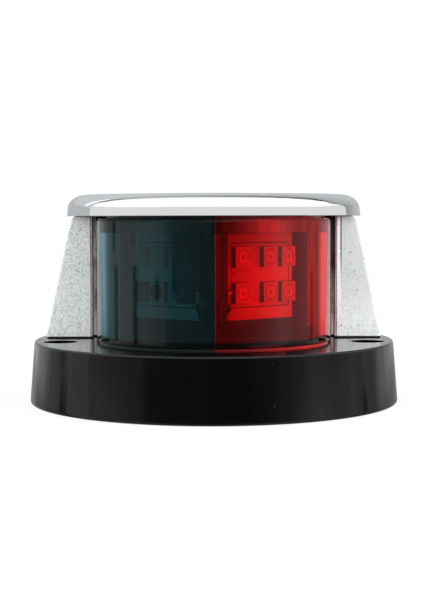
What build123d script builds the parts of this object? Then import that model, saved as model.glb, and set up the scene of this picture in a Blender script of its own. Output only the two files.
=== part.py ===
from build123d import *
import os
from math import cos, radians, sin

# Two-colour navigation light for the bow of a small boat, in millimetres.
# The origin is the centre of the base's underside. +Z is up, -Y is dead ahead,
# +X is the port (red) side and -X the starboard (green) side.

# Base: a drafted elliptical moulding, hollow beneath.
base_half_width = 47.5
base_half_length = 52.5
base_height = 15.8
base_draft_inset = 1.2
base_skirt_wall = 2.6
base_top_plate = 3.0
base_foot_round = 0.7
base_rim_round = 0.5
rib_thickness = 1.6
rib_foot_z = 2.2
rib_x = (-22.0, 22.0)
rib_y = (-30.0, -9.7, 24.5)

# Deck screws go down through two deep counterbores beside the lens.
deck_screw_x = 39.0
deck_screw_y = -9.7
deck_hole_radius = 2.25
deck_recess_radius = 4.3
deck_recess_floor_z = 3.5
deck_boss_radius = 6.4

# Foam gasket, let into the underside and flush with the skirt.
gasket_thickness = 2.0
gasket_clearance = 0.5
gasket_boss_gap = 0.4
gasket_cable_hole_radius = 6.5

# Lens: a half drum with straight sides running back into the housing.
lens_radius = 29.6
lens_centre_y = -8.4
lens_rear_y = 7.2
lens_wall = 2.2
lens_top_z = 47.2
lens_roof = 3.6
lens_top_round = 0.9
lens_foot_round = 0.5
lens_seam_x = 0.35
seal_thickness = 0.4
seal_setback = 0.6
side_seal_width = 1.0
top_seal_outer_inset = 2.4
top_seal_width = 3.0
top_seal_rear_inset = 0.6
lens_bottom_z = base_height + seal_thickness
lens_inner_radius = lens_radius - lens_wall
lens_ceiling_z = lens_top_z - lens_roof

# A raised platform on the base centres the lens and carries the lamp inside.
plinth_clearance = 0.5
plinth_top_z = 18.5
plinth_radius = lens_inner_radius - plinth_clearance

# Housing: one plated casting, a flat cap on two leaning wings, closed behind.
cap_underside_z = 47.7
cap_radius = 37.5
cap_centre_y = -4.5
cap_rim_height = 2.1
cap_rim_lean = 0.26
cap_round_width = 5.2
cap_round_height = 3.3
cap_round_fullness = 0.56
cap_crown = 0.45
cap_crown_flat = (0.7, 0.5)
cap_recess_radius = 23.0
cap_recess_depth = 2.6
cap_lip_chamfer = 0.12
wing_face_y = 2.6
casting_wall = 2.8
housing_bottom_z = base_height + seal_thickness
# Height, half width, half length and centre of the elliptical body at three levels.
body_levels = (
    (housing_bottom_z, 44.0, 47.5, 0.0),
    (32.0, 40.75, 43.5, -2.0),
    (cap_underside_z, 37.9, 35.3, cap_centre_y),
)
body_shoulder_round = 1.3
wing_edge_round = 0.4
jamb_x = 31.8
jamb_round = 0.5
jamb_depth = 7.6
stop_rib_inner_x = 24.8
stop_rib_front_y = 8.0
housing_boss_radius = 3.7
housing_boss_top_z = 25.0
housing_seal_lip = 0.25

# Lamp: two boards at an angle on a V-shaped bracket.
board_angle = 42.0
board_width = 22.4
board_inner_x = 3.5
board_inner_y = -21.0
board_bottom_z = 21.9
board_top_z = 43.3
board_thickness = 1.6
pad_thickness = 0.5
pad_margin = 0.8
carrier_wall = 2.0
carrier_half_width = 25.2
carrier_rear_y = 7.3
carrier_top_z = 43.2
carrier_floor = 2.0
carrier_slot_depth = 1.4
carrier_slot_half_width = 0.55
lead_notch_half_width = 3.9
lead_notch_rear_y = -13.0
lead_notch_height = 2.9
baffle_half_thickness = 0.5
baffle_gap = 0.25
baffle_slot_gap = 0.1

# LED packages, by distance from the board's inner edge and by height.
led_columns = (3.9, 13.4, 19.85)
led_rows = (28.6, 37.5)
led_size = 5.0
led_height = 1.3
led_corner_round = 0.25
window_radius = 2.05
window_recess_radius = 2.1
window_depth = 0.45

# Driver board, flat on the bracket's floor behind the V.
driver_half_width = 6.0
driver_front_y = -12.4
driver_rear_y = -4.2
driver_screw_x = 4.6
driver_screw_y = -5.6
resistor_size = (3.2, 1.6, 0.55)
resistor_across = (4.2, -8.6)
resistor_along = (1.3, -8.3)
diode_size = (4.3, 2.2, 2.1)
diode_y = -5.4
diode_body = (3.5, 1.9)
diode_chamfer = 0.3
diode_tab = (1.2, 0.5)

# Leads from the driver board to the front of the LED boards.
lead_radius = 0.65
lead_bend = 2.6
lead_end_bend = 2.0
lead_drop_y = -23.6
lead_low_z = 19.6
lead_dip = 1.9
lead_strip_share = 0.62
lead_landing = 0.9
lead_landing_gap = 0.2
lead_rise = (4.6, 1.5)
lead_columns = ((1.55, 29.0), (2.95, 25.6))
conductor_radius = 0.4
pad_inset = 0.5
solder_radius = 0.65
solder_seat = 0.8

# Cable grommet, in the platform behind the V.
grommet_y = 1.5
grommet_hole_radius = 3.45
grommet_neck_radius = 3.4
grommet_bore_radius = 2.25
grommet_flange_radius = 4.7
grommet_flange = 1.2
grommet_clear_radius = 5.0

# Screws. The shank is the core of a thread in a hole of nearly its own size.
screw_radius = 1.47
screw_pilot_radius = 1.5
screw_pass_radius = 1.7
screw_head_radius = 2.75
screw_head_height = 2.0
screw_recess_width = 0.75
screw_recess_span = 2.8
screw_recess_depth = 1.1
washer_radius = 3.3
washer_thickness = 0.5
head_crown_share = 0.45
tip_chamfer_share = 0.4
hole_extra_depth = 0.3
housing_screw_places = ((-35.6, 13.2), (35.6, 13.2), (-15.0, 37.6), (15.0, 37.6))
housing_screw_top_z = 23.0
carrier_screw_places = ((-14.0, 2.6), (14.0, 2.6))
carrier_screw_tip_z = 14.2
small_screw_radius = 0.95
small_pilot_radius = 0.98
small_pass_radius = 1.05
small_head_radius = 1.8
small_head_height = 1.2

plate_underside_z = base_height - base_top_plate
carrier_floor_z = plinth_top_z + carrier_floor
driver_top_z = carrier_floor_z + board_thickness

# Half the side of the cutting blocks, larger than the whole light.
far = 60.0


def place(shape, x=0.0, y=0.0, z=0.0):
    return Pos(x, y, z) * shape


def upright(radius, low_z, high_z, x=0.0, y=0.0):
    """A vertical cylinder between two heights."""
    return place(extrude(Circle(radius), high_z - low_z), x, y, low_z)


def block(low, high):
    """A box between two opposite corners."""
    size = [b - a for a, b in zip(low, high)]
    middle = [(a + b) / 2 for a, b in zip(low, high)]
    return place(Box(*size), *middle)


def prism(plan, low_z, high_z):
    """A flat outline drawn at height zero, standing between two heights."""
    return place(extrude(plan, high_z - low_z), z=low_z)


def drum_plan(radius, rear_y):
    """The lens's outline from above: a half circle ahead and straight sides behind."""
    sides = Polyline((radius, lens_centre_y), (radius, rear_y), (-radius, rear_y), (-radius, lens_centre_y))
    front = ThreePointArc((-radius, lens_centre_y), (0, lens_centre_y - radius), (radius, lens_centre_y))
    return make_face(sides + front)


def elliptic_loft(levels, inset=0.0):
    """A smooth solid through ellipses given as height, half width, half length and centre."""
    return loft([place(Ellipse(width - inset, length - inset), 0, y, z) for z, width, length, y in levels])


def both_sides(shape):
    """The port-side shape and its mirror image, as two solids."""
    return [shape, mirror(shape, about=Plane.YZ)]


def write(name, *shapes):
    solids = [solid for shape in shapes for solid in shape.solids()]
    whole = solids[0] if len(solids) == 1 else Compound(solids)
    export_step(whole, os.path.join("parts", name + ".step"))


def screw(x, y, seat_z, tip_z, radius, head_radius, head_height):
    """A pan-head screw. Its head sits on the side of seat_z away from its tip."""
    up = -1 if tip_z > seat_z else 1
    crown_z = seat_z + up * head_height
    head = upright(head_radius, min(seat_z, crown_z), max(seat_z, crown_z), x, y)
    head = fillet(head.edges().sort_by(Axis.Z)[-1 if up == 1 else 0], head_height * head_crown_share)
    shank = upright(radius, min(seat_z, tip_z), max(seat_z, tip_z), x, y)
    shank = chamfer(shank.edges().sort_by(Axis.Z)[0 if up == 1 else -1], radius * tip_chamfer_share)
    span = screw_recess_span * head_radius / screw_head_radius
    width = screw_recess_width * head_radius / screw_head_radius
    depth = screw_recess_depth * head_radius / screw_head_radius
    cross = Box(span, width, 2 * depth) + Box(width, span, 2 * depth)
    return head + shank - place(cross, x, y, crown_z)


def make_base():
    foot = (0.0, base_half_width, base_half_length, 0.0)
    rim = (base_height, base_half_width - base_draft_inset, base_half_length - base_draft_inset, 0.0)
    outer = elliptic_loft((foot, rim))
    outer = fillet(outer.edges().sort_by(Axis.Z)[0], base_foot_round)
    outer = fillet(outer.edges().sort_by(Axis.Z)[-1], base_rim_round)
    hollow = elliptic_loft((foot, rim), base_skirt_wall)
    hollow -= block((-far, -far, plate_underside_z), (far, far, far))
    ribs = Part()
    for x in rib_x:
        ribs += block((x - rib_thickness / 2, -far, rib_foot_z), (x + rib_thickness / 2, far, far))
    for y in rib_y:
        ribs += block((-far, y - rib_thickness / 2, rib_foot_z), (far, y + rib_thickness / 2, far))
    bosses = Part()
    for x in (-deck_screw_x, deck_screw_x):
        bosses += upright(deck_boss_radius, 0, base_height, x, deck_screw_y)
    base = outer - hollow + (ribs & hollow) + (bosses & hollow)
    base += prism(drum_plan(plinth_radius, lens_rear_y), base_height, plinth_top_z)
    for x in (-deck_screw_x, deck_screw_x):
        base -= upright(deck_hole_radius, -1, base_height, x, deck_screw_y)
        base -= upright(deck_recess_radius, deck_recess_floor_z, base_height + 1, x, deck_screw_y)
    for x, y in housing_screw_places:
        base -= upright(screw_pass_radius, plate_underside_z - 1, base_height + 1, x, y)
    for x, y in carrier_screw_places:
        base -= upright(screw_pilot_radius, carrier_screw_tip_z - hole_extra_depth, plinth_top_z + 1, x, y)
    return base - upright(grommet_hole_radius, plate_underside_z - 1, plinth_top_z + 1, y=grommet_y)


def make_deck_gasket():
    width = base_half_width - base_skirt_wall - gasket_clearance
    length = base_half_length - base_skirt_wall - gasket_clearance
    plan = Ellipse(width, length)
    for x in (-deck_screw_x, deck_screw_x):
        plan -= Pos(x, deck_screw_y) * Circle(deck_boss_radius + gasket_boss_gap)
    plan -= Pos(0, grommet_y) * Circle(gasket_cable_hole_radius)
    return prism(plan, 0, gasket_thickness)


def make_wire_grommet():
    grommet = upright(grommet_neck_radius, plate_underside_z, plinth_top_z, y=grommet_y)
    flange = upright(grommet_flange_radius, 0, grommet_flange, y=grommet_y)
    lower = place(flange, z=plate_underside_z - grommet_flange)
    upper = place(flange, z=plinth_top_z)
    lower = fillet(lower.edges().sort_by(Axis.Z)[0], grommet_flange / 2)
    upper = fillet(upper.edges().sort_by(Axis.Z)[-1], grommet_flange / 2)
    return grommet + lower + upper - upright(grommet_bore_radius, 0, base_height * 2, y=grommet_y)


def front_plan():
    """From above, the port wing's front wall, its return beside the lens and its stop rib."""
    wall_back_y = wing_face_y + casting_wall
    return_x = jamb_x + casting_wall
    return_y = wing_face_y + jamb_depth
    walls = Polyline(
        (jamb_x + jamb_round, wing_face_y),
        (far, wing_face_y),
        (far, wall_back_y),
        (return_x, wall_back_y),
        (return_x, return_y),
        (stop_rib_inner_x, return_y),
        (stop_rib_inner_x, stop_rib_front_y),
        (jamb_x, stop_rib_front_y),
        (jamb_x, wing_face_y + jamb_round),
    )
    corner = RadiusArc((jamb_x, wing_face_y + jamb_round), (jamb_x + jamb_round, wing_face_y), jamb_round)
    return make_face(walls + corner)


def make_cap():
    """A crowned disc whose leaning rim runs smoothly into a soft shoulder."""
    rim_top = cap_underside_z + cap_rim_height
    rim_radius = cap_radius - cap_rim_lean
    shoulder = cap_radius - cap_round_width
    shoulder_z = rim_top + cap_round_height
    crown_z = shoulder_z + cap_crown
    side = Polyline(
        (0, 0, crown_z),
        (0, 0, cap_underside_z),
        (cap_radius - cap_lip_chamfer, 0, cap_underside_z),
        (cap_radius, 0, cap_underside_z + cap_lip_chamfer),
        (rim_radius, 0, rim_top),
    )
    rise = cap_round_fullness * cap_round_height
    slope = cap_rim_lean / (cap_rim_height - cap_lip_chamfer)
    corner = Bezier(
        (rim_radius, 0, rim_top),
        (rim_radius - rise * slope, 0, rim_top + rise),
        (shoulder + cap_round_fullness * (rim_radius - shoulder), 0, shoulder_z),
        (shoulder, 0, shoulder_z),
    )
    crown = Bezier(
        (shoulder, 0, shoulder_z),
        (shoulder * cap_crown_flat[0], 0, shoulder_z),
        (shoulder * cap_crown_flat[1], 0, crown_z),
        (0, 0, crown_z),
    )
    disc = revolve(make_face(side + corner + crown), Axis.Z)
    disc -= upright(cap_recess_radius, cap_underside_z - 1, cap_underside_z + cap_recess_depth)
    return place(disc, y=cap_centre_y)


def make_housing():
    body = elliptic_loft(body_levels)
    body = fillet(body.faces().sort_by(Axis.Z)[-1].edges(), body_shoulder_round)
    body -= block((-far, -far, 0), (far, wing_face_y, far))
    curves = [edge for edge in body.edges() if edge.geom_type != GeomType.LINE]
    body = fillet([edge for edge in curves if edge.center().Y < wing_face_y + 0.1], wing_edge_round)
    cavity = elliptic_loft(body_levels, casting_wall)
    for wall in both_sides(prism(front_plan(), housing_bottom_z, cap_underside_z)):
        cavity -= wall
    for x, y in housing_screw_places:
        cavity -= upright(housing_boss_radius, housing_bottom_z, housing_boss_top_z, x, y)
    shell = body - cavity
    for x, y in housing_screw_places:
        hole_top_z = housing_screw_top_z + hole_extra_depth
        shell -= upright(screw_pilot_radius, housing_bottom_z - 1, hole_top_z, x, y)
    return shell + make_cap()


def make_housing_seal():
    """A thin gasket in the shape of the casting's lower edge."""
    edge_z, width, length, centre_y = body_levels[0]
    outline = Pos(0, centre_y) * Ellipse(width - housing_seal_lip, length - housing_seal_lip)
    walls = outline - Pos(0, centre_y) * Ellipse(width - casting_wall, length - casting_wall)
    walls += outline & front_plan()
    walls += outline & mirror(front_plan(), about=Plane.YZ)
    for x, y in housing_screw_places:
        walls += outline & Pos(x, y) * Circle(housing_boss_radius)
    walls -= Pos(0, wing_face_y + housing_seal_lip - far) * Rectangle(2 * far, 2 * far)
    for x, y in housing_screw_places:
        walls -= Pos(x, y) * Circle(screw_pass_radius)
    return prism(walls, base_height, edge_z)


def make_lens():
    """The whole drum, before it is parted on the centre line."""
    drum = prism(drum_plan(lens_radius, lens_rear_y), lens_bottom_z, lens_top_z)
    top_edges = drum.edges().filter_by_position(Axis.Z, lens_top_z - 0.01, lens_top_z + 0.01)
    curved = [edge for edge in top_edges if edge.center().Y < lens_rear_y - 0.1]
    drum = fillet(curved, lens_top_round)
    foot_edges = drum.edges().filter_by_position(Axis.Z, lens_bottom_z - 0.01, lens_bottom_z + 0.01)
    drum = fillet([edge for edge in foot_edges if edge.center().Y < lens_rear_y - 0.1], lens_foot_round)
    return drum - prism(drum_plan(lens_inner_radius, lens_rear_y + 1), lens_bottom_z - 1, lens_ceiling_z)


def make_lens_foot_seal():
    outer = drum_plan(lens_radius - seal_setback, lens_rear_y)
    return prism(outer - drum_plan(lens_inner_radius, lens_rear_y + 1), base_height, lens_bottom_z)


def make_lens_top_seal():
    radius = lens_radius - top_seal_outer_inset
    rear_y = lens_rear_y - top_seal_rear_inset
    ring = drum_plan(radius, rear_y) - drum_plan(radius - top_seal_width, rear_y - top_seal_width)
    return prism(ring, lens_top_z, cap_underside_z)


def make_lens_side_seal():
    return block(
        (lens_radius - side_seal_width, lens_rear_y, lens_bottom_z),
        (lens_radius, stop_rib_front_y, lens_top_z),
    )


def board_plane(depth=0.0):
    """The port board's front face, x along the board and y up, moved back by depth."""
    along = Vector(cos(radians(board_angle)), sin(radians(board_angle)), 0)
    normal = Vector(sin(radians(board_angle)), -cos(radians(board_angle)), 0)
    origin = Vector(board_inner_x, board_inner_y, 0) - normal * depth
    return Plane(origin=origin, x_dir=along, z_dir=normal)


def board_slab(depth, thickness, margin=0.0):
    """A plate behind the board's front face, between two depths."""
    width = board_width - 2 * margin
    height = board_top_z - board_bottom_z - 2 * margin
    middle = (board_top_z + board_bottom_z) / 2
    outline = Pos(board_width / 2, middle) * Rectangle(width, height)
    return extrude(board_plane(depth + thickness) * outline, thickness)


def make_leds():
    """The six packages of the port board and their round windows."""
    packages = []
    windows = []
    for column in led_columns:
        for row in led_rows:
            spot = board_plane() * Pos(column, row, 0)
            body = extrude(RectangleRounded(led_size, led_size, led_corner_round), led_height)
            recess = Pos(0, 0, led_height - window_depth) * extrude(Circle(window_recess_radius), 1)
            window = Pos(0, 0, led_height - window_depth) * extrude(Circle(window_radius), window_depth)
            packages.append(spot * (body - recess))
            windows.append(spot * window)
    return packages, windows


def carrier_outline():
    """The bracket from above: a V ahead, straight sides behind."""
    plane = board_plane(board_thickness + pad_thickness)
    slope = sin(radians(board_angle)) / cos(radians(board_angle))
    apex_y = plane.origin.Y - plane.origin.X * slope
    shoulder_y = apex_y + carrier_half_width * slope
    points = (
        (0, apex_y),
        (carrier_half_width, shoulder_y),
        (carrier_half_width, carrier_rear_y),
        (-carrier_half_width, carrier_rear_y),
        (-carrier_half_width, shoulder_y),
    )
    return make_face(Polyline(*points, close=True)), apex_y


def make_led_carrier():
    outline, apex_y = carrier_outline()
    inside = offset(outline, -carrier_wall, kind=Kind.INTERSECTION)
    rear_gap = Pos(0, carrier_rear_y) * Rectangle(2 * (carrier_half_width - carrier_wall), 3 * carrier_wall)
    carrier = prism(outline - inside - rear_gap, plinth_top_z, carrier_top_z)
    carrier += prism(outline, plinth_top_z, carrier_floor_z)
    slot_rear_y = apex_y + carrier_slot_depth
    carrier -= block(
        (-carrier_slot_half_width, apex_y - 1, plinth_top_z - 1),
        (carrier_slot_half_width, slot_rear_y, carrier_top_z + 1),
    )
    carrier -= block(
        (-lead_notch_half_width, apex_y - 1, plinth_top_z - 1),
        (lead_notch_half_width, lead_notch_rear_y, plinth_top_z + lead_notch_height),
    )
    carrier -= upright(grommet_clear_radius, plinth_top_z - 1, carrier_floor_z + 1, y=grommet_y)
    for x, y in carrier_screw_places:
        carrier -= upright(screw_pass_radius, plinth_top_z - 1, carrier_floor_z + 1, x, y)
    for x in (-driver_screw_x, driver_screw_x):
        carrier -= upright(small_pilot_radius, plinth_top_z - 1, carrier_floor_z + 1, x, driver_screw_y)
    return carrier


def make_light_baffle():
    apex_y = carrier_outline()[1]
    return block(
        (-baffle_half_thickness, lens_centre_y - lens_inner_radius + baffle_gap, plinth_top_z),
        (baffle_half_thickness, apex_y + carrier_slot_depth - baffle_slot_gap, lens_ceiling_z - baffle_gap),
    )


def make_driver_board():
    board = block(
        (-driver_half_width, driver_front_y, carrier_floor_z),
        (driver_half_width, driver_rear_y, driver_top_z),
    )
    for x in (-driver_screw_x, driver_screw_x):
        board -= upright(small_pass_radius, carrier_floor_z - 1, driver_top_z + 1, x, driver_screw_y)
    return board


def make_resistors():
    """Two lie across the board, outboard of two that lie along it."""
    length, width, height = resistor_size
    z = driver_top_z + height / 2
    across = both_sides(place(Box(length, width, height), *resistor_across, z))
    along = both_sides(place(Box(width, length, height), *resistor_along, z))
    return across + along


def make_diode():
    """A moulded body on two flat tabs that stick out at its ends."""
    length, width, height = diode_size
    body_length, body_height = diode_body
    tab_width, tab_thickness = diode_tab
    body = chamfer(Box(body_length, width, body_height).edges().filter_by(Axis.Y), diode_chamfer)
    body = place(body, z=height - body_height / 2)
    tabs = place(Box(length, tab_width, tab_thickness), z=tab_thickness / 2)
    return place(body + tabs, 0, diode_y, driver_top_z)


def make_leads():
    """The port side's two leads, and the bared, soldered ends that reach the LED board."""
    leads = []
    joints = []
    for x, pad_z in lead_columns:
        pad = board_plane() * Pos(pad_inset, pad_z, 0)
        landing = (board_plane() * Pos(pad_inset, pad_z, solder_radius * solder_seat)).position
        turn = Vector(x, lead_drop_y, pad_z - lead_dip)
        strip = turn + (landing - turn) * lead_strip_share
        board_end_y = driver_front_y + lead_landing
        board_end_z = driver_top_z + lead_radius + lead_landing_gap
        path = FilletPolyline(
            strip,
            turn,
            (x, lead_drop_y, lead_low_z),
            (x, board_end_y - lead_rise[0], lead_low_z),
            (x, board_end_y - lead_rise[1], board_end_z),
            (x, board_end_y, board_end_z),
            radius=[lead_end_bend, lead_bend, lead_bend, lead_end_bend],
        )
        leads.append(sweep(Plane(origin=path @ 0, z_dir=path % 0) * Circle(lead_radius), path))
        bare = Plane(origin=strip, z_dir=landing - strip)
        conductor = extrude(bare * Circle(conductor_radius), (landing - strip).length)
        blob = pad * (Sphere(solder_radius) & block((-far, -far, 0), (far, far, far)))
        joints.append(conductor + blob)
        foot = place(Sphere(solder_radius), x, board_end_y + solder_radius * solder_seat, driver_top_z)
        joints.append(foot & block((-far, board_end_y, driver_top_z), (far, far, far)))
    return leads, joints


def make_washer(x, y):
    """The washer under a housing screw's head, against the base's top plate."""
    ring = upright(washer_radius, plate_underside_z - washer_thickness, plate_underside_z, x, y)
    return ring - upright(screw_pass_radius, 0, base_height, x, y)


def main():
    os.makedirs("parts", exist_ok=True)
    write("base", make_base())
    write("deck_gasket", make_deck_gasket())
    write("wire_grommet", make_wire_grommet())
    write("housing", make_housing())
    write("housing_seal", make_housing_seal())

    lens = make_lens()
    write("lens_green", lens & block((-far, -far, 0), (lens_seam_x, far, far)))
    write("lens_red", lens & block((lens_seam_x, -far, 0), (far, far, far)))
    write("lens_foot_seal", make_lens_foot_seal())
    write("lens_top_seal", make_lens_top_seal())
    write("lens_side_seals", *both_sides(make_lens_side_seal()))

    write("led_carrier", make_led_carrier())
    write("light_baffle", make_light_baffle())
    board = board_slab(0, board_thickness)
    write("led_board_red", board)
    write("led_board_green", mirror(board, about=Plane.YZ))
    write("thermal_pads", *both_sides(board_slab(board_thickness, pad_thickness, pad_margin)))
    packages, windows = make_leds()
    write("leds_red", *packages)
    write("leds_green", *[mirror(led, about=Plane.YZ) for led in packages])
    write("led_windows_red", *windows)
    write("led_windows_green", *[mirror(window, about=Plane.YZ) for window in windows])

    write("driver_board", make_driver_board())
    write("resistors", *make_resistors())
    write("diode", make_diode())
    leads, joints = make_leads()
    write("board_leads", *[side for lead in leads for side in both_sides(lead)])
    write("solder_joints", *[side for joint in joints for side in both_sides(joint)])

    head = (screw_radius, screw_head_radius, screw_head_height)
    seat_z = plate_underside_z - washer_thickness
    screws = [screw(x, y, seat_z, housing_screw_top_z, *head) for x, y in housing_screw_places]
    write("housing_screws", *screws)
    write("housing_screw_washers", *[make_washer(x, y) for x, y in housing_screw_places])
    screws = [screw(x, y, carrier_floor_z, carrier_screw_tip_z, *head) for x, y in carrier_screw_places]
    write("carrier_screws", *screws)
    small = (small_screw_radius, small_head_radius, small_head_height)
    tip_z = plinth_top_z + hole_extra_depth
    driver_screw = screw(driver_screw_x, driver_screw_y, driver_top_z, tip_z, *small)
    write("driver_board_screws", *both_sides(driver_screw))


main()
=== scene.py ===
import math

import bmesh
import bpy
from mathutils import Euler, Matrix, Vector


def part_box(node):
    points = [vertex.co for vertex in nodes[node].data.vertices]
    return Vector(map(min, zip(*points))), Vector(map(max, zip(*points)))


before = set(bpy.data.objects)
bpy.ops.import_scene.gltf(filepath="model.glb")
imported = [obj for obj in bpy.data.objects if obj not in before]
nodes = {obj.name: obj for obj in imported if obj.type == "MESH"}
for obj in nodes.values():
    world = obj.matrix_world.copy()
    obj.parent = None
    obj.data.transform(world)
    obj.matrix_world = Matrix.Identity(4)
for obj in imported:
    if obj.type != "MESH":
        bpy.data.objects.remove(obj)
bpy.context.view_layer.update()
MM = 0.001

# Places in millimetres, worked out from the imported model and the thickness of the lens's roof.
lens_roof = 3.6
cap_under_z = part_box("lens_top_seal")[1].z / MM
lens_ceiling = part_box("lens_red")[1].z / MM - lens_roof
lens_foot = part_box("lens_red")[0].z / MM
seam_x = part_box("lens_red")[0].x / MM
driver_z = (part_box("driver_board")[0].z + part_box("driver_board")[1].z) / 2 / MM

# The casting beside the lens, outward from the middle: what the lens hides, the outer edge of the black line
# of painted shade in the gap, the start of the wing faces and a smooth strip. The thin plating ends at
# strips_end_y.
behind_lens_x = 29.3
black_line_x = 31.0
wing_face_x = 31.8
polished_strip_x, polished_strip_half = 32.55, 0.75
strips_end_y = 10.5

# An LED board: the angle and inner edge of its front face, where its packages sit and where shade is
# painted.
board_angle = math.radians(42.0)
board_edge = (3.5, -21.0)
board_width = 22.4
led_columns = (3.9, 13.4, 19.85)
led_rows = (28.6, 37.5)
led_half = 2.5
between_rows = (31.0, 34.0)
shade_edge = (9.6, 8.6)
outer_led_edge = 16.5


# ---------------------------------------------------------------- node helpers

class Nodes:
    """Builds one node tree, with short calls for the nodes that the materials share."""

    def __init__(self, tree):
        self.tree = tree

    def add(self, kind, **values):
        node = self.tree.nodes.new(kind)
        for name, value in values.items():
            setattr(node, name, value)
        return node

    def link(self, source, target):
        self.tree.links.new(source, target)

    def feed(self, socket, value):
        if isinstance(value, bpy.types.NodeSocket):
            self.link(value, socket)
        else:
            socket.default_value = value

    def math(self, operation, a, b=0.0, c=0.0, clamp=False):
        node = self.add("ShaderNodeMath", operation=operation, use_clamp=clamp)
        for socket, value in zip(node.inputs, (a, b, c)):
            self.feed(socket, value)
        return node.outputs[0]

    def times(self, a, b):
        return self.math("MULTIPLY", a, b)

    def larger(self, a, b):
        return self.math("MAXIMUM", a, b)

    def invert(self, value):
        """One minus the value."""
        return self.math("SUBTRACT", 1.0, value)

    def step(self, value, low, high, start=0.0, end=1.0):
        """A smooth ramp from start to end as value goes from low to high."""
        node = self.add("ShaderNodeMapRange", interpolation_type="SMOOTHSTEP")
        names = ("Value", "From Min", "From Max", "To Min", "To Max")
        for name, number in zip(names, (value, low, high, start, end)):
            self.feed(node.inputs[name], number)
        return node.outputs["Result"]

    def band(self, value, centre, half, soft):
        """One inside centre plus or minus half, falling to zero over soft."""
        distance = self.math("ABSOLUTE", self.math("SUBTRACT", value, centre))
        return self.step(self.math("SUBTRACT", distance, half), 0.0, soft, 1.0, 0.0)

    def mix(self, factor, a, b):
        node = self.add("ShaderNodeMix", data_type="RGBA")
        self.feed(node.inputs["Factor"], factor)
        for socket, value in ((node.inputs[6], a), (node.inputs[7], b)):
            self.feed(socket, value if isinstance(value, bpy.types.NodeSocket) else colour(value))
        return node.outputs[2]

    def blend(self, factor, a, b):
        """A number that goes from a to b with the factor."""
        node = self.add("ShaderNodeMix", data_type="FLOAT")
        for socket, value in zip((node.inputs[0], node.inputs[2], node.inputs[3]), (factor, a, b)):
            self.feed(socket, value)
        return node.outputs[0]

    def position(self):
        """Object coordinates in millimetres."""
        place = self.add("ShaderNodeTexCoord").outputs["Object"]
        scaled = self.add("ShaderNodeVectorMath", operation="SCALE")
        self.feed(scaled.inputs[0], place)
        scaled.inputs["Scale"].default_value = 1 / MM
        return scaled.outputs[0]

    def split(self, vector):
        node = self.add("ShaderNodeSeparateXYZ")
        self.feed(node.inputs[0], vector)
        return node.outputs

    def ramp(self, value, *stops):
        """A number read off straight lines between (value, result) stops."""
        result = stops[0][1]
        for (low, start), (high, end) in zip(stops, stops[1:]):
            node = self.add("ShaderNodeMapRange", interpolation_type="LINEAR")
            names = ("Value", "From Min", "From Max", "To Max")
            for name, number in zip(names, (value, low, high, end - start)):
                self.feed(node.inputs[name], number)
            result = self.math("ADD", node.outputs["Result"], result)
        return result

    def along_board(self, x, y):
        """Distance from the board's inner edge, the same on both sides."""
        cosine, sine = math.cos(board_angle), math.sin(board_angle)
        across = self.math("MULTIPLY_ADD", self.math("ABSOLUTE", x), cosine, -board_edge[0] * cosine)
        inward = self.math("MULTIPLY_ADD", y, sine, -board_edge[1] * sine)
        return self.math("ADD", across, inward)

    def port_side(self, x):
        """One to port of the middle, nought to starboard."""
        return self.step(x, -0.1, 0.1)

    def lower_row(self, z):
        """One over the lower row of LEDs, nought over the upper."""
        return self.step(z, *reversed(between_rows))

    def in_shade(self, along):
        """One on the inner part of the starboard board, which lies in shade."""
        return self.step(along, *shade_edge)

    def from_nearest(self, value, centres):
        """Distance to the nearest of some numbers."""
        distances = [self.math("ABSOLUTE", self.math("SUBTRACT", value, centre)) for centre in centres]
        nearest = distances[0]
        for distance in distances[1:]:
            nearest = self.math("MINIMUM", nearest, distance)
        return nearest

    def stretch(self, vector, scale):
        node = self.add("ShaderNodeVectorMath", operation="MULTIPLY")
        self.feed(node.inputs[0], vector)
        node.inputs[1].default_value = scale
        return node.outputs[0]

    def noise(self, vector, scale, detail=3.0, roughness=0.5):
        node = self.add("ShaderNodeTexNoise")
        self.feed(node.inputs["Vector"], vector)
        for name, value in (("Scale", scale), ("Detail", detail), ("Roughness", roughness)):
            node.inputs[name].default_value = value
        return node.outputs["Fac"]

    def cells(self, vector, scale, feature="F1", randomness=1.0):
        node = self.add("ShaderNodeTexVoronoi", feature=feature)
        self.feed(node.inputs["Vector"], vector)
        node.inputs["Scale"].default_value = scale
        node.inputs["Randomness"].default_value = randomness
        return node.outputs["Distance"]

    def bump(self, height, strength, distance_mm, normal=None):
        node = self.add("ShaderNodeBump")
        self.feed(node.inputs["Height"], height)
        self.feed(node.inputs["Strength"], strength)
        node.inputs["Distance"].default_value = distance_mm * MM
        if normal is not None:
            self.feed(node.inputs["Normal"], normal)
        return node.outputs[0]


def colour(value):
    return (*value, 1.0) if len(value) == 3 else value


def new_material(name, **sockets):
    """A material with one Principled shader, whose constant sockets are given by name."""
    material = bpy.data.materials.new(name)
    material.use_nodes = True
    build = Nodes(material.node_tree)
    shader = material.node_tree.nodes["Principled BSDF"]
    for socket, value in sockets.items():
        target = shader.inputs[socket.replace("_", " ")]
        target.default_value = colour(value) if isinstance(value, tuple) else value
    return material, build, shader


def assign(material, *names):
    for name in names:
        mesh = nodes[name].data
        mesh.materials.clear()
        mesh.materials.append(material)


# ---------------------------------------------------------------- materials

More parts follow.
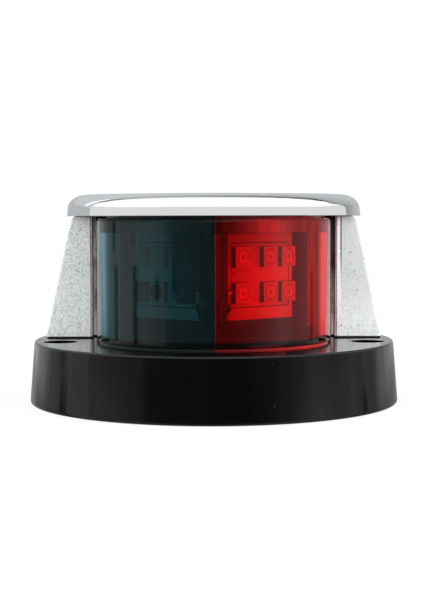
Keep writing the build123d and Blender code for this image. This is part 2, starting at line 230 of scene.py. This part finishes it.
def black_gloss_material():
    """Polished black moulding: draw marks down the skirt, fine wiping marks and a few dust specks."""
    material, build, shader = new_material("black_gloss", IOR=1.5, Specular_IOR_Level=0.45)
    place = build.position()
    z = build.split(place)[2]
    cloud = build.noise(place, 0.06, 2.0)
    wipes = build.noise(build.stretch(place, (0.5, 0.5, 6.0)), 0.9, 4.0, 0.65)
    speck = build.step(build.cells(place, 0.42), 0.03, 0.055, 1.0, 0.0)
    chosen = build.step(build.noise(place, 0.11, 1.0), 0.56, 0.6)
    dust = build.times(speck, chosen)
    tone = build.mix(cloud, (0.0004, 0.0004, 0.0005), (0.0010, 0.0010, 0.0012))
    build.link(build.mix(dust, tone, (0.06, 0.06, 0.06)), shader.inputs["Base Color"])
    under_lamp = build.step(z, 16.6, 17.4)
    rough = build.math("MULTIPLY_ADD", wipes, 0.09, 0.05)
    rough = build.math("ADD", rough, build.times(dust, 0.4))
    build.link(build.math("MULTIPLY_ADD", under_lamp, 0.5, rough), shader.inputs["Roughness"])
    ripple = build.bump(build.noise(place, 0.045, 1.0), 0.35, 0.35)
    draws = build.noise(build.stretch(place, (1.0, 1.0, 0.04)), 0.22, 3.0, 0.6)
    build.link(build.bump(wipes, 0.04, 0.05, build.bump(draws, 0.3, 0.22, ripple)), shader.inputs["Normal"])
    return material


def cast_skin(build, place, port, grain):
    """The wing faces as cast: grainy, porous to starboard, with pits at their inner feet, and a dark line of
    painted shade for a groove along the smooth strip's outer edge.
    Returns the colour, the relief and the smooth strip beside the red lens."""
    x, _, z = build.split(place)
    aside = build.math("ABSOLUTE", x)
    pores = build.step(build.noise(place, 3.6, 2.0, 0.7), 0.50, 0.62)
    spots = build.step(build.cells(place, 1.5), 0.12, 0.34, 1.0, 0.0)
    toward_foot = build.times(build.step(z, 23.0, 16.5), build.step(aside, 36.5, wing_face_x))
    chosen = build.math("SUBTRACT", 0.53, build.times(toward_foot, 0.24))
    pits = build.times(spots, build.step(build.noise(place, 0.5, 2.0), chosen, 0.66))
    lumps = build.noise(place, 0.75, 2.0)

    to_starboard = build.mix(grain, (0.69, 0.72, 0.73), (0.90, 0.93, 0.935))
    to_port = build.mix(grain, (0.74, 0.80, 0.81), (0.95, 1.0, 1.0))
    to_port = build.mix(build.step(z, 19.0, 31.0, 0.0, 0.30), to_port, (0.33, 0.35, 0.36))
    cast = build.mix(port, to_starboard, to_port)
    pore_share = build.blend(port, build.step(z, 17.0, 40.0, 0.5, 0.75), 0.22)
    cast = build.mix(build.times(pores, pore_share), cast, (0.30, 0.305, 0.30))
    cast = build.mix(pits, cast, (0.10, 0.10, 0.095))
    bloom = build.times(build.step(lumps, 0.50, 0.62), build.step(z, 30.0, 20.0))
    cast = build.mix(build.times(bloom, 0.5), cast, (0.97, 0.985, 0.98))

    strip = build.band(x, polished_strip_x, polished_strip_half, 0.1)
    strip = build.times(strip, build.step(z, 20.0, 30.0))
    strip_edge = polished_strip_x + polished_strip_half
    # Painted shade: a dark line along the strip's outer edge, standing in for the shade in a groove.
    groove_painted_shade = build.times(build.band(x, strip_edge, 0.13, 0.1), build.step(z, 27.0, 40.0))
    cast = build.mix(strip, cast, (0.95, 0.965, 0.97))
    cast = build.mix(build.times(groove_painted_shade, 0.9), cast, (0.04, 0.04, 0.04))

    relief = build.math("ADD", build.times(grain, 0.7), build.times(lumps, 0.6))
    relief = build.math("SUBTRACT", relief, build.times(build.larger(pits, pores), 0.5))
    return cast, relief, strip


def thin_plating(build, place, port):
    """Thin rusty plating on the wings' inner sides, darker and reddish high up to port. Painted shade: black
    where they meet the lens, dark grey behind the lens to starboard.
    """
    x, _, z = build.split(place)
    aside = build.math("ABSOLUTE", x)
    rust = build.noise(build.stretch(place, (1.0, 1.0, 0.25)), 0.8, 3.0, 0.6)
    thin = build.mix(build.step(rust, 0.35, 0.65), (0.34, 0.27, 0.25), (0.98, 0.90, 0.86))
    # Darker and reddish towards the top on the port side.
    darker_above_to_port = build.times(port, build.step(z, 29.0, 35.0, 0.0, 0.92))
    thin = build.mix(darker_above_to_port, thin, (0.06, 0.03, 0.035))
    # Painted shade: a black line where the jamb meets the lens, for the shade in the gap.
    painted_gap_shade = build.step(aside, black_line_x + 0.15, black_line_x)
    thin = build.mix(painted_gap_shade, thin, (0.006, 0.005, 0.005))
    # Painted shade: the plating behind the lens is dark grey to starboard and bright to port.
    behind_lens_shaded_to_starboard = build.mix(port, (0.10, 0.10, 0.10), (0.98, 0.97, 0.97))
    return build.mix(build.step(aside, behind_lens_x + 0.2, behind_lens_x), thin, behind_lens_shaded_to_starboard)


def plating_material():
    """Bright plating: mirror-like on the cap and back, as cast on the wing faces, thin beside the lens."""
    material, build, shader = new_material("bright_plating")
    place = build.position()
    x, y, z = build.split(place)
    facing = build.split(build.add("ShaderNodeNewGeometry").outputs["Normal"])[1]
    aside = build.math("ABSOLUTE", x)
    below_cap = build.step(z, cap_under_z - 0.02, cap_under_z + 0.02, 1.0, 0.0)
    front = build.step(facing, -0.85, -0.3, 1.0, 0.0)
    outboard = build.step(aside, wing_face_x + 0.02, wing_face_x + 0.1)
    face = build.times(build.times(front, below_cap), outboard)
    inboard = build.step(aside, wing_face_x + 0.2, wing_face_x + 0.05)
    beside_lens = build.times(inboard, build.step(y, strips_end_y + 1.0, strips_end_y))
    gap = build.times(beside_lens, below_cap)
    unpolished = build.larger(face, gap)
    port = build.step(x, -5.0, 5.0)

    grain = build.noise(place, 2.3, 4.0, 0.62)
    soft = build.noise(place, 0.05, 1.0)
    cast, relief, strip = cast_skin(build, place, port, grain)
    bright = build.mix(soft, (0.88, 0.885, 0.89), (0.93, 0.935, 0.94))
    shade = build.mix(face, bright, cast)
    build.link(build.mix(gap, shade, thin_plating(build, place, port)), shader.inputs["Base Color"])
    build.link(build.invert(build.times(unpolished, 0.7)), shader.inputs["Metallic"])
    fine = build.noise(build.stretch(place, (1.0, 1.0, 8.0)), 0.7, 3.0, 0.6)
    polished = build.math("MULTIPLY_ADD", fine, 0.04, 0.02)
    rough = build.math("MULTIPLY_ADD", grain, 0.16, 0.34)
    rough = build.math("MULTIPLY_ADD", strip, -0.16, rough)
    build.link(build.blend(unpolished, polished, rough), shader.inputs["Roughness"])
    waves = build.bump(soft, 0.08, 0.2)
    strength = build.times(build.times(face, 0.55), build.invert(strip))
    build.link(build.bump(relief, strength, 0.22, waves), shader.inputs["Normal"])
    return material


def lens_material(name, tint, deep, cloud, foot, seam):
    """Clear tinted acrylic with moulding flow and fine wear.
    Cloud clouds the thick roof, foot paints the lowest part near-black as painted shade at the flange, and
    seam is the glue where the halves meet."""
    material, build, shader = new_material(name, IOR=1.49)
    place = build.position()
    x, _, z = build.split(place)
    flow = build.noise(build.stretch(place, (1.0, 1.0, 0.3)), 0.12, 2.0)
    # Painted shade: the lowest part of the lens goes near-black, a dark line at the flange.
    foot_painted_shade = build.step(z, lens_foot + 1.7, lens_foot + 1.2, 0.0, foot)
    tone = build.mix(foot_painted_shade, build.mix(flow, tint, deep), (0.002, 0.003, 0.003))
    build.link(tone, shader.inputs["Base Color"])
    streaks = build.noise(build.stretch(place, (1.0, 1.0, 0.15)), 0.9, 2.0)
    roof = build.step(z, lens_ceiling, lens_ceiling + 0.15)
    aside = build.math("ABSOLUTE", x)
    spread = build.ramp(aside, (0.0, 0.04), (4.0, 0.08), (9.0, 0.40), (14.5, 1.0), (17.5, 0.55), (24.0, 0.5))
    streaked = build.step(streaks, 0.3, 0.7, 0.7 * cloud, 1.2 * cloud)
    milk = build.times(roof, build.times(spread, streaked))
    glue = build.step(x, seam_x + 0.2, seam_x + 0.1, 0.0, seam)
    build.link(build.invert(build.larger(milk, glue)), shader.inputs["Transmission Weight"])
    wear = build.noise(build.stretch(place, (1.0, 1.0, 5.0)), 0.8, 4.0, 0.7)
    build.link(build.step(wear, 0.45, 0.9, 0.0, 0.035), shader.inputs["Roughness"])
    swell = build.bump(build.noise(place, 0.07, 1.0), 0.25, 0.12)
    build.link(build.bump(wear, 0.015, 0.03, swell), shader.inputs["Normal"])
    return material


def rubber_material():
    """Black sealing rubber with a faint bloom."""
    material, build, shader = new_material("black_rubber", Specular_IOR_Level=0.3)
    place = build.position()
    bloom = build.noise(place, 0.8, 4.0, 0.6)
    build.link(build.mix(bloom, (0.004, 0.004, 0.004), (0.02, 0.02, 0.019)), shader.inputs["Base Color"])
    build.link(build.math("MULTIPLY_ADD", bloom, 0.3, 0.55), shader.inputs["Roughness"])
    build.link(build.bump(build.noise(place, 4.0, 3.0), 0.2, 0.05), shader.inputs["Normal"])
    return material


def seal_material():
    """Smoky sealing bead with painted light: dark red brightening towards the sides to port, as if lit
    through the red lens, and painted shade to starboard, near-black green.
    """
    material, build, shader = new_material("bead_with_painted_lens_light", IOR=1.45)
    place = build.position()
    x = build.split(place)[0]
    mottle = build.noise(build.stretch(place, (1.0, 1.0, 4.0)), 0.5, 3.0, 0.6)
    painted_glow_toward_side = build.step(build.math("ABSOLUTE", x), 6.0, 26.0)
    # Painted light to port, red and brighter towards the sides; painted shade to starboard, near-black
    # green.
    red = build.mix(build.times(mottle, painted_glow_toward_side), (0.10, 0.002, 0.004), (0.75, 0.02, 0.02))
    green = build.mix(mottle, (0.002, 0.004, 0.004), (0.006, 0.012, 0.012))
    build.link(build.mix(build.step(x, 0.3, 0.4), green, red), shader.inputs["Base Color"])
    build.link(build.math("MULTIPLY_ADD", mottle, 0.25, 0.2), shader.inputs["Roughness"])
    build.link(build.bump(mottle, 0.2, 0.06), shader.inputs["Normal"])
    return material


def foam_material():
    """Closed-cell foam: small open cells cut through at the surface."""
    material, build, shader = new_material("closed_cell_foam", Specular_IOR_Level=0.2)
    place = build.position()
    cell = build.cells(place, 1.6)
    tone = build.mix(build.step(cell, 0.1, 0.6), (0.012, 0.012, 0.013), (0.05, 0.05, 0.052))
    build.link(tone, shader.inputs["Base Color"])
    build.link(build.math("MULTIPLY_ADD", build.noise(place, 1.0), 0.15, 0.8), shader.inputs["Roughness"])
    build.link(build.bump(cell, 0.7, 0.3), shader.inputs["Normal"])
    return material


def matt_black_material():
    """Black moulded bracket with a spark-eroded texture, paler in a band beside the port board."""
    material, build, shader = new_material("matt_black", Specular_IOR_Level=0.4)
    place = build.position()
    grain = build.noise(place, 3.2, 3.0, 0.6)
    x = build.split(place)[0]
    # Paler in a band just inside the port board's inner edge.
    paler_band = build.band(x, 1.9, 1.3, 0.3)
    tone = build.mix(grain, (0.007, 0.0065, 0.007), (0.020, 0.019, 0.02))
    build.link(build.mix(paler_band, tone, (0.07, 0.065, 0.065)), shader.inputs["Base Color"])
    build.link(build.math("MULTIPLY_ADD", grain, 0.2, 0.45), shader.inputs["Roughness"])
    build.link(build.bump(grain, 0.3, 0.06), shader.inputs["Normal"])
    return material


def board_material():
    """White solder mask with printed outlines and faint tracks. Painted shade darkens it towards the middle
    of the lamp, near the top to port, and most on the starboard board's inner part.
    """
    material, build, shader = new_material("white_board", Specular_IOR_Level=0.45)
    place = build.position()
    x, y, z = build.split(place)
    along = build.along_board(x, y)
    line, soft = 0.09, 0.07
    low_z, high_z, inner, outer = 25.0, 41.0, 1.15, board_width - 1.2
    within_z = build.band(z, (low_z + high_z) / 2, (high_z - low_z) / 2, soft)
    within_s = build.band(along, (inner + outer) / 2, (outer - inner) / 2, soft)
    rails = build.step(build.from_nearest(z, (low_z, high_z)), line, line + soft, 1.0, 0.0)
    posts = build.step(build.from_nearest(along, (inner, outer)), line, line + soft, 1.0, 0.0)
    frame_print = build.larger(build.times(rails, within_s), build.times(posts, within_z))
    reach = build.larger(build.from_nearest(along, led_columns), build.from_nearest(z, led_rows))
    footprint = build.band(reach, led_half + 0.02, 0.07, 0.06)
    via_along, via_z = 1.7, 33.6
    from_via = build.larger(build.from_nearest(along, (via_along,)), build.from_nearest(z, (via_z,)))
    via = build.step(from_via, 0.2, 0.3, 1.0, 0.0)
    ink = build.larger(build.larger(frame_print, via), build.times(footprint, 0.8))
    tracks = build.times(build.band(build.math("PINGPONG", z, 2.25), 0.0, 0.5, 0.1), within_s)
    mottle = build.noise(place, 0.5, 3.0)
    mask = build.mix(mottle, (0.78, 0.79, 0.78), (0.90, 0.905, 0.89))
    mask = build.mix(build.times(tracks, 0.2), mask, (0.66, 0.63, 0.52))
    # Painted shade: to starboard the inner part goes dark above the lowest strip, more towards the inner
    # edge; to port it darkens towards the middle of the lamp and near the top.
    starboard_painted_shade = build.times(build.in_shade(along), build.step(z, 25.4, 30.0))
    starboard_painted_shade = build.math("MULTIPLY_ADD", starboard_painted_shade, 0.85, build.ramp(along, (0.0, 0.10), (board_width, 0.0)))
    port_painted_shade = build.ramp(along, (0.0, 0.50), (5.0, 0.36), (13.0, 0.06))
    port_painted_shade = build.math("MULTIPLY_ADD", build.step(z, 33.0, 43.0), 0.22, port_painted_shade)
    shaded = build.blend(build.port_side(x), starboard_painted_shade, port_painted_shade)
    mask = build.mix(shaded, mask, (0.12, 0.12, 0.11))
    build.link(build.mix(ink, mask, (0.03, 0.03, 0.03)), shader.inputs["Base Color"])
    build.link(build.math("MULTIPLY_ADD", mottle, 0.15, 0.3), shader.inputs["Roughness"])
    build.link(build.bump(tracks, 0.4, 0.05), shader.inputs["Normal"])
    return material


def green_board_material():
    """Green solder mask over diagonal tracks, with the bare laminate at the cut edge."""
    material, build, shader = new_material("green_board", Specular_IOR_Level=0.5)
    place = build.position()
    x, y, z = build.split(place)
    tracks = build.band(build.math("PINGPONG", build.math("ADD", x, y), 1.3), 0.0, 0.3, 0.1)
    mask = build.mix(tracks, (0.01, 0.12, 0.045), (0.03, 0.22, 0.08))
    edge = build.band(z, driver_z, 0.7, 0.05)
    build.link(build.mix(edge, mask, (0.35, 0.30, 0.16)), shader.inputs["Base Color"])
    build.link(build.math("MULTIPLY_ADD", build.noise(place, 1.0), 0.15, 0.25), shader.inputs["Roughness"])
    build.link(build.bump(tracks, 0.4, 0.05), shader.inputs["Normal"])
    return material


def speckled_material(name, low, high, scale, rough, bump=0.2, metallic=0.0, specular=0.5):
    """A plain finish with the mottle, roughness variation and relief of its material."""
    material, build, shader = new_material(name, Metallic=metallic, Specular_IOR_Level=specular)
    place = build.position()
    mottle = build.noise(place, scale, 4.0, 0.6)
    build.link(build.mix(mottle, low, high), shader.inputs["Base Color"])
    build.link(build.math("MULTIPLY_ADD", mottle, rough[1] - rough[0], rough[0]), shader.inputs["Roughness"])
    build.link(build.bump(build.noise(place, scale * 2.5, 2.0), bump, 0.05), shader.inputs["Normal"])
    return material


def resin_material():
    """Clear resin: to port over a square reflector cup with a darker die, to starboard plain and darkened
    with painted shade.
    """
    material, build, shader = new_material("led_resin", IOR=1.5, Specular_IOR_Level=0.6)
    place = build.position()
    x, y, z = build.split(place)
    along = build.along_board(x, y)
    reach = build.larger(build.from_nearest(along, led_columns), build.from_nearest(z, led_rows))
    haze = build.noise(place, 1.4, 3.0)
    cup = build.band(reach, 0.95, 0.2, 0.2)
    die = build.step(reach, 0.25, 0.5, 1.0, 0.0)
    tone = build.mix(haze, (0.56, 0.53, 0.42), (0.66, 0.62, 0.50))
    tone = build.mix(cup, tone, (0.88, 0.86, 0.76))
    tone = build.mix(build.times(die, 0.4), tone, (0.20, 0.19, 0.17))
    plain = build.mix(haze, (0.52, 0.53, 0.50), (0.66, 0.67, 0.63))
    # Painted shade: the starboard resin goes near-black on the lower row and on the board's inner part.
    plain = build.mix(build.lower_row(z), plain, (0.05, 0.055, 0.05))
    plain = build.mix(build.in_shade(along), plain, (0.10, 0.10, 0.10))
    tone = build.mix(build.port_side(x), plain, tone)
    build.link(tone, shader.inputs["Base Color"])
    build.link(build.math("MULTIPLY_ADD", haze, 0.15, 0.08), shader.inputs["Roughness"])
    build.link(build.bump(reach, 0.15, 0.05), shader.inputs["Normal"])
    return material


def package_material():
    """Off-white moulded LED packages, with painted shade: darker down the sides than on the face, and dimmer
    to starboard.
    """
    material, build, shader = new_material("led_package", Specular_IOR_Level=0.4)
    place = build.position()
    x, y, z = build.split(place)
    normal = build.split(build.add("ShaderNodeNewGeometry").outputs["Normal"])
    outward = build.times(normal[0], build.math("SIGN", x))
    across = build.times(outward, math.sin(board_angle))
    forward = build.math("MULTIPLY_ADD", normal[1], -math.cos(board_angle), across)
    mottle = build.noise(place, 1.2, 4.0, 0.6)
    face = build.mix(mottle, (0.66, 0.65, 0.60), (0.80, 0.79, 0.74))
    # Painted shade: the sides are near-black, as if in their own shadow.
    side = build.mix(mottle, (0.05, 0.05, 0.045), (0.12, 0.12, 0.11))
    port = build.port_side(x)
    # Starboard sides: mid grey on the upper row, dark with painted shade on the lower row.
    plain_side = build.mix(build.lower_row(z), (0.50, 0.51, 0.49), (0.16, 0.165, 0.16))
    side = build.mix(port, plain_side, side)
    along = build.along_board(x, y)
    # Painted shade: to starboard, faces at the lower row's outer end and on the board's inner part go
    # near-black.
    dim = build.times(build.step(along, outer_led_edge, outer_led_edge + 0.5), build.lower_row(z))
    dim = build.larger(dim, build.in_shade(along))
    plain_face = build.mix(mottle, (0.60, 0.61, 0.60), (0.74, 0.75, 0.74))
    plain_face = build.mix(build.times(dim, 0.9), plain_face, (0.06, 0.06, 0.06))
    face = build.mix(port, plain_face, face)
    build.link(build.mix(build.step(forward, 0.3, 0.8), side, face), shader.inputs["Base Color"])
    build.link(build.math("MULTIPLY_ADD", mottle, 0.2, 0.35), shader.inputs["Roughness"])
    build.link(build.bump(mottle, 0.2, 0.04), shader.inputs["Normal"])
    return material


def steel_material():
    """Turned stainless steel with circular tool marks around each vertical axis."""
    material, build, shader = new_material("stainless", Metallic=1.0)
    place = build.position()
    marks = build.noise(build.stretch(place, (3.0, 3.0, 14.0)), 1.0, 3.0, 0.6)
    build.link(build.mix(marks, (0.50, 0.50, 0.51), (0.68, 0.68, 0.69)), shader.inputs["Base Color"])
    build.link(build.math("MULTIPLY_ADD", marks, 0.2, 0.2), shader.inputs["Roughness"])
    build.link(build.bump(marks, 0.2, 0.04), shader.inputs["Normal"])
    return material


def dress_cad_nodes():
    assign(black_gloss_material(), "base")
    assign(foam_material(), "deck_gasket")
    assign(rubber_material(), "wire_grommet", "housing_seal", "lens_side_seals")
    assign(seal_material(), "lens_foot_seal", "lens_top_seal")
    assign(plating_material(), "housing")
    green = lens_material("green_lens", (0.055, 0.20, 0.22), (0.045, 0.175, 0.195), 0.05, 0.97, 0.0)
    assign(green, "lens_green")
    red = lens_material("red_lens", (0.93, 0.012, 0.014), (0.88, 0.008, 0.010), 0.28, 0.9, 0.10)
    assign(red, "lens_red")
    assign(matt_black_material(), "led_carrier", "light_baffle", "diode")
    assign(board_material(), "led_board_red", "led_board_green")
    pad = speckled_material("grey_pad", (0.30, 0.31, 0.33), (0.42, 0.43, 0.45), 0.9, (0.6, 0.8))
    assign(pad, "thermal_pads")
    assign(package_material(), "leds_red", "leds_green")
    assign(resin_material(), "led_windows_red", "led_windows_green")
    assign(green_board_material(), "driver_board")
    chip = speckled_material("chip_ceramic", (0.015, 0.015, 0.017), (0.06, 0.06, 0.065), 2.0, (0.3, 0.5))
    assign(chip, "resistors")
    jacket = speckled_material("lead_jacket", (0.006, 0.006, 0.006), (0.02, 0.02, 0.02), 1.2, (0.25, 0.4))
    assign(jacket, "board_leads")
    solder = speckled_material("solder", (0.62, 0.62, 0.61), (0.85, 0.85, 0.84), 2.2, (0.15, 0.35),
                               metallic=1.0)
    assign(solder, "solder_joints")
    steel = steel_material()
    assign(steel, "housing_screws", "housing_screw_washers", "carrier_screws", "driver_board_screws")


# ---------------------------------------------------------------- studio and camera

stage_radius = 2.4
stage_glow = 1.03


def tent_above(build, x, y, z):
    """What the cap mirrors: white ahead and above, grey behind, and a dark line where they meet.
    Returns the strength and where the grey back is."""
    toward_starboard = build.step(x, 0.3, -0.3)
    tent = build.step(z, 0.26, 0.30, 0.76, 1.10)
    edge = build.math("SUBTRACT", y, build.times(build.math("ABSOLUTE", x), 0.12))
    tip = build.times(build.step(z, 0.12, 0.5, 1.0, 0.0), build.blend(toward_starboard, 0.20, -0.02))
    edge = build.math("SUBTRACT", edge, tip)
    open_back = build.step(edge, 0.27, 0.285)
    streak = build.times(build.band(edge, 0.42, 0.04, 0.03), toward_starboard)
    streak = build.times(streak, build.step(z, 0.2, 0.3))
    rim = build.step(z, 0.20, 0.28, 1.0, 0.0)
    port_fade = build.ramp(edge, (0.30, 0.32), (0.55, 0.48), (0.95, 0.62))
    fade = build.blend(toward_starboard, port_fade, build.blend(rim, 0.62, 0.50))
    back = build.math("MULTIPLY_ADD", streak, 0.45, fade)
    high = build.blend(open_back, tent, back)
    line_width = build.step(z, 0.50, 0.97, 0.012, 0.34)
    line = build.step(build.math("SUBTRACT", edge, line_width), 0.285, 0.31, 1.0, 0.0)
    line = build.times(build.times(line, open_back), build.step(z, 0.25, 0.45))
    line = build.times(line, build.step(z, 0.60, 0.86, 0.9, 0.45))
    return build.times(high, build.invert(line)), open_back


def panels_below(build, direction):
    """Low down: a dark card ahead, panels that brighten towards the sides, and dark stands."""
    x, y, z = build.split(direction)
    starboard = build.math("LESS_THAN", x, 0.0)
    port_side = build.ramp(y, (-0.95, 0.05), (-0.79, 0.15), (-0.44, 0.56), (-0.33, 0.66), (-0.07, 0.50),
                           (0.40, 0.34), (0.52, 0.26), (0.60, 0.46), (0.77, 0.62))
    starboard_side = build.ramp(y, (-0.95, 0.08), (-0.78, 0.14), (-0.70, 0.16), (-0.66, 0.34),
                                (-0.40, 0.50), (-0.20, 0.52), (0.14, 0.60), (0.30, 0.52),
                                (0.46, 0.30), (0.64, 0.42), (0.9, 0.80))
    stand_y = build.from_nearest(y, (-0.156, 0.34))
    stands = build.times(build.step(stand_y, 0.045, 0.06, 1.0, 0.0), starboard)
    port_stand = build.times(build.band(y, 0.35, 0.025, 0.02), build.invert(starboard))
    stands = build.times(build.math("ADD", stands, port_stand), build.step(z, -0.030, -0.036))
    post = build.times(build.band(y, 0.40, 0.03, 0.03), build.step(z, -0.03, -0.02, 0.0, 0.8))
    knobs = build.times(build.step(build.from_nearest(y, (-0.56, -0.775)), 0.02, 0.045, 1.0, 0.0),
                       build.band(z, -0.047, 0.006, 0.006))
    stands = build.larger(stands, build.times(build.math("ADD", post, knobs), starboard))
    low = build.blend(starboard, port_side, starboard_side)
    low = build.times(low, build.invert(build.times(stands, 0.8)))
    panels = build.noise(build.stretch(direction, (3.2, 3.2, 0.2)), 3.0, 2.0)
    low = build.times(low, build.step(panels, 0.3, 0.7, 0.85, 1.12))
    above = build.times(low, build.step(y, -0.2, 0.1, 0.62, 0.9))
    low = build.blend(build.step(z, -0.01, 0.01), low, above)
    ends = build.times(build.step(z, -0.055, -0.085), build.step(y, 0.3, 0.6))
    return build.times(low, build.invert(build.times(ends, 0.5)))


def make_world():
    """A soft white tent: pale ahead and above, grey behind, and a dark card low down dead ahead."""
    world = bpy.data.worlds.new("studio")
    bpy.context.scene.world = world
    world.use_nodes = True
    build = Nodes(world.node_tree)
    direction = build.add("ShaderNodeTexCoord").outputs["Generated"]
    x, y, z = build.split(direction)
    high, open_back = tent_above(build, x, y, z)
    low = panels_below(build, direction)
    split = build.step(y, 0.1, 0.3, 0.12, 0.015)
    strength = build.blend(build.step(build.math("SUBTRACT", z, split), 0.0, 0.03), low, high)
    background = world.node_tree.nodes["Background"]
    tone = build.mix(open_back, (1.0, 1.0, 1.0), (0.97, 1.0, 1.02))
    build.link(tone, background.inputs["Color"])
    build.link(strength, background.inputs["Strength"])


def soft_light(name, place, aim, size, power):
    """A large soft panel that lights the object without showing in its reflections."""
    data = bpy.data.lights.new(name, "AREA")
    data.shape = "RECTANGLE"
    data.size, data.size_y = size
    data.energy = power
    light = bpy.data.objects.new(name, data)
    light.location = place
    light.rotation_euler = (Vector(aim) - Vector(place)).to_track_quat("-Z", "Y").to_euler()
    bpy.context.scene.collection.objects.link(light)
    light.visible_camera = False
    light.visible_glossy = False
    return light


def make_lights():
    """A soft panel to each side, and a small one ahead that lights the strips beside the lens."""
    soft_light("port_panel", (0.62, -0.42, 0.15), (0.0, -0.01, 0.03), (0.5, 0.22), 5.4)
    soft_light("starboard_panel", (-0.58, -0.45, 0.16), (0.0, -0.01, 0.03), (0.5, 0.22), 2.9)
    front = soft_light("front_panel", (0.0, -0.75, 0.10), (0.0, -0.01, 0.03), (0.10, 0.06), 1.6)
    front.visible_transmission = False


def see_only(obj, **seen):
    """Which kinds of ray see a stage object."""
    for ray in ("camera", "diffuse", "glossy", "transmission", "volume_scatter", "shadow"):
        setattr(obj, "visible_" + ray, seen.get(ray, False))


def stage_disc(name, radius, z):
    mesh = bpy.data.meshes.new(name)
    build = bmesh.new()
    bmesh.ops.create_circle(build, cap_ends=True, radius=radius, segments=96)
    build.to_mesh(mesh)
    build.free()
    obj = bpy.data.objects.new(name, mesh)
    obj.location.z = z
    bpy.context.scene.collection.objects.link(obj)
    return obj


def glowing(build):
    """The even glow of the floor's far part and the dome."""
    glow = build.add("ShaderNodeEmission")
    glow.inputs["Strength"].default_value = stage_glow
    return glow


def make_stage():
    """A pale floor that fades into a pale dome all round."""
    floor = stage_disc("floor", stage_radius, -0.0002)
    material, build, shader = new_material("floor", Roughness=0.9, Specular_IOR_Level=0.0)
    place = build.position()
    grain = build.noise(place, 0.2, 2.0)
    build.link(build.mix(grain, (0.90, 0.90, 0.90), (0.92, 0.92, 0.92)), shader.inputs["Base Color"])
    output = material.node_tree.nodes["Material Output"]
    glow = glowing(build)
    distance = build.add("ShaderNodeVectorMath", operation="LENGTH")
    build.link(place, distance.inputs[0])
    mixer = build.add("ShaderNodeMixShader")
    build.link(build.step(distance.outputs["Value"], 60.0, 320.0, 0.85, 1.0), mixer.inputs[0])
    build.link(shader.outputs[0], mixer.inputs[1])
    build.link(glow.outputs[0], mixer.inputs[2])
    build.link(mixer.outputs[0], output.inputs["Surface"])
    floor.data.materials.append(material)
    see_only(floor, camera=True, diffuse=True, transmission=True)

    mesh = bpy.data.meshes.new("dome")
    build = bmesh.new()
    bmesh.ops.create_uvsphere(build, u_segments=48, v_segments=24, radius=stage_radius)
    build.to_mesh(mesh)
    build.free()
    dome = bpy.data.objects.new("dome", mesh)
    bpy.context.scene.collection.objects.link(dome)
    material = bpy.data.materials.new("dome")
    material.use_nodes = True
    build = Nodes(material.node_tree)
    glow = glowing(build)
    build.link(glow.outputs[0], material.node_tree.nodes["Material Output"].inputs["Surface"])
    mesh.materials.append(material)
    see_only(dome, camera=True, transmission=True)


def make_camera():
    """Dead ahead, level with the cap's lower edge, looking slightly down."""
    data = bpy.data.cameras.new("camera")
    data.sensor_width = 36.0
    data.lens = 90.54
    data.clip_start = 0.01
    camera = bpy.data.objects.new("camera", data)
    distance, height = 392 * MM, 47.7 * MM
    camera.location = (0.0, -distance, height)
    look_down, roll, turn = 3.19, 0.0024, math.radians(0.057)
    camera.rotation_euler = Euler((math.radians(90 - look_down), roll, turn), "XYZ")
    bpy.context.scene.collection.objects.link(camera)
    bpy.context.scene.camera = camera


def main():
    make_camera()
    make_world()
    make_lights()
    make_stage()
    bpy.context.scene.view_settings.view_transform = "Standard"
    dress_cad_nodes()


main()
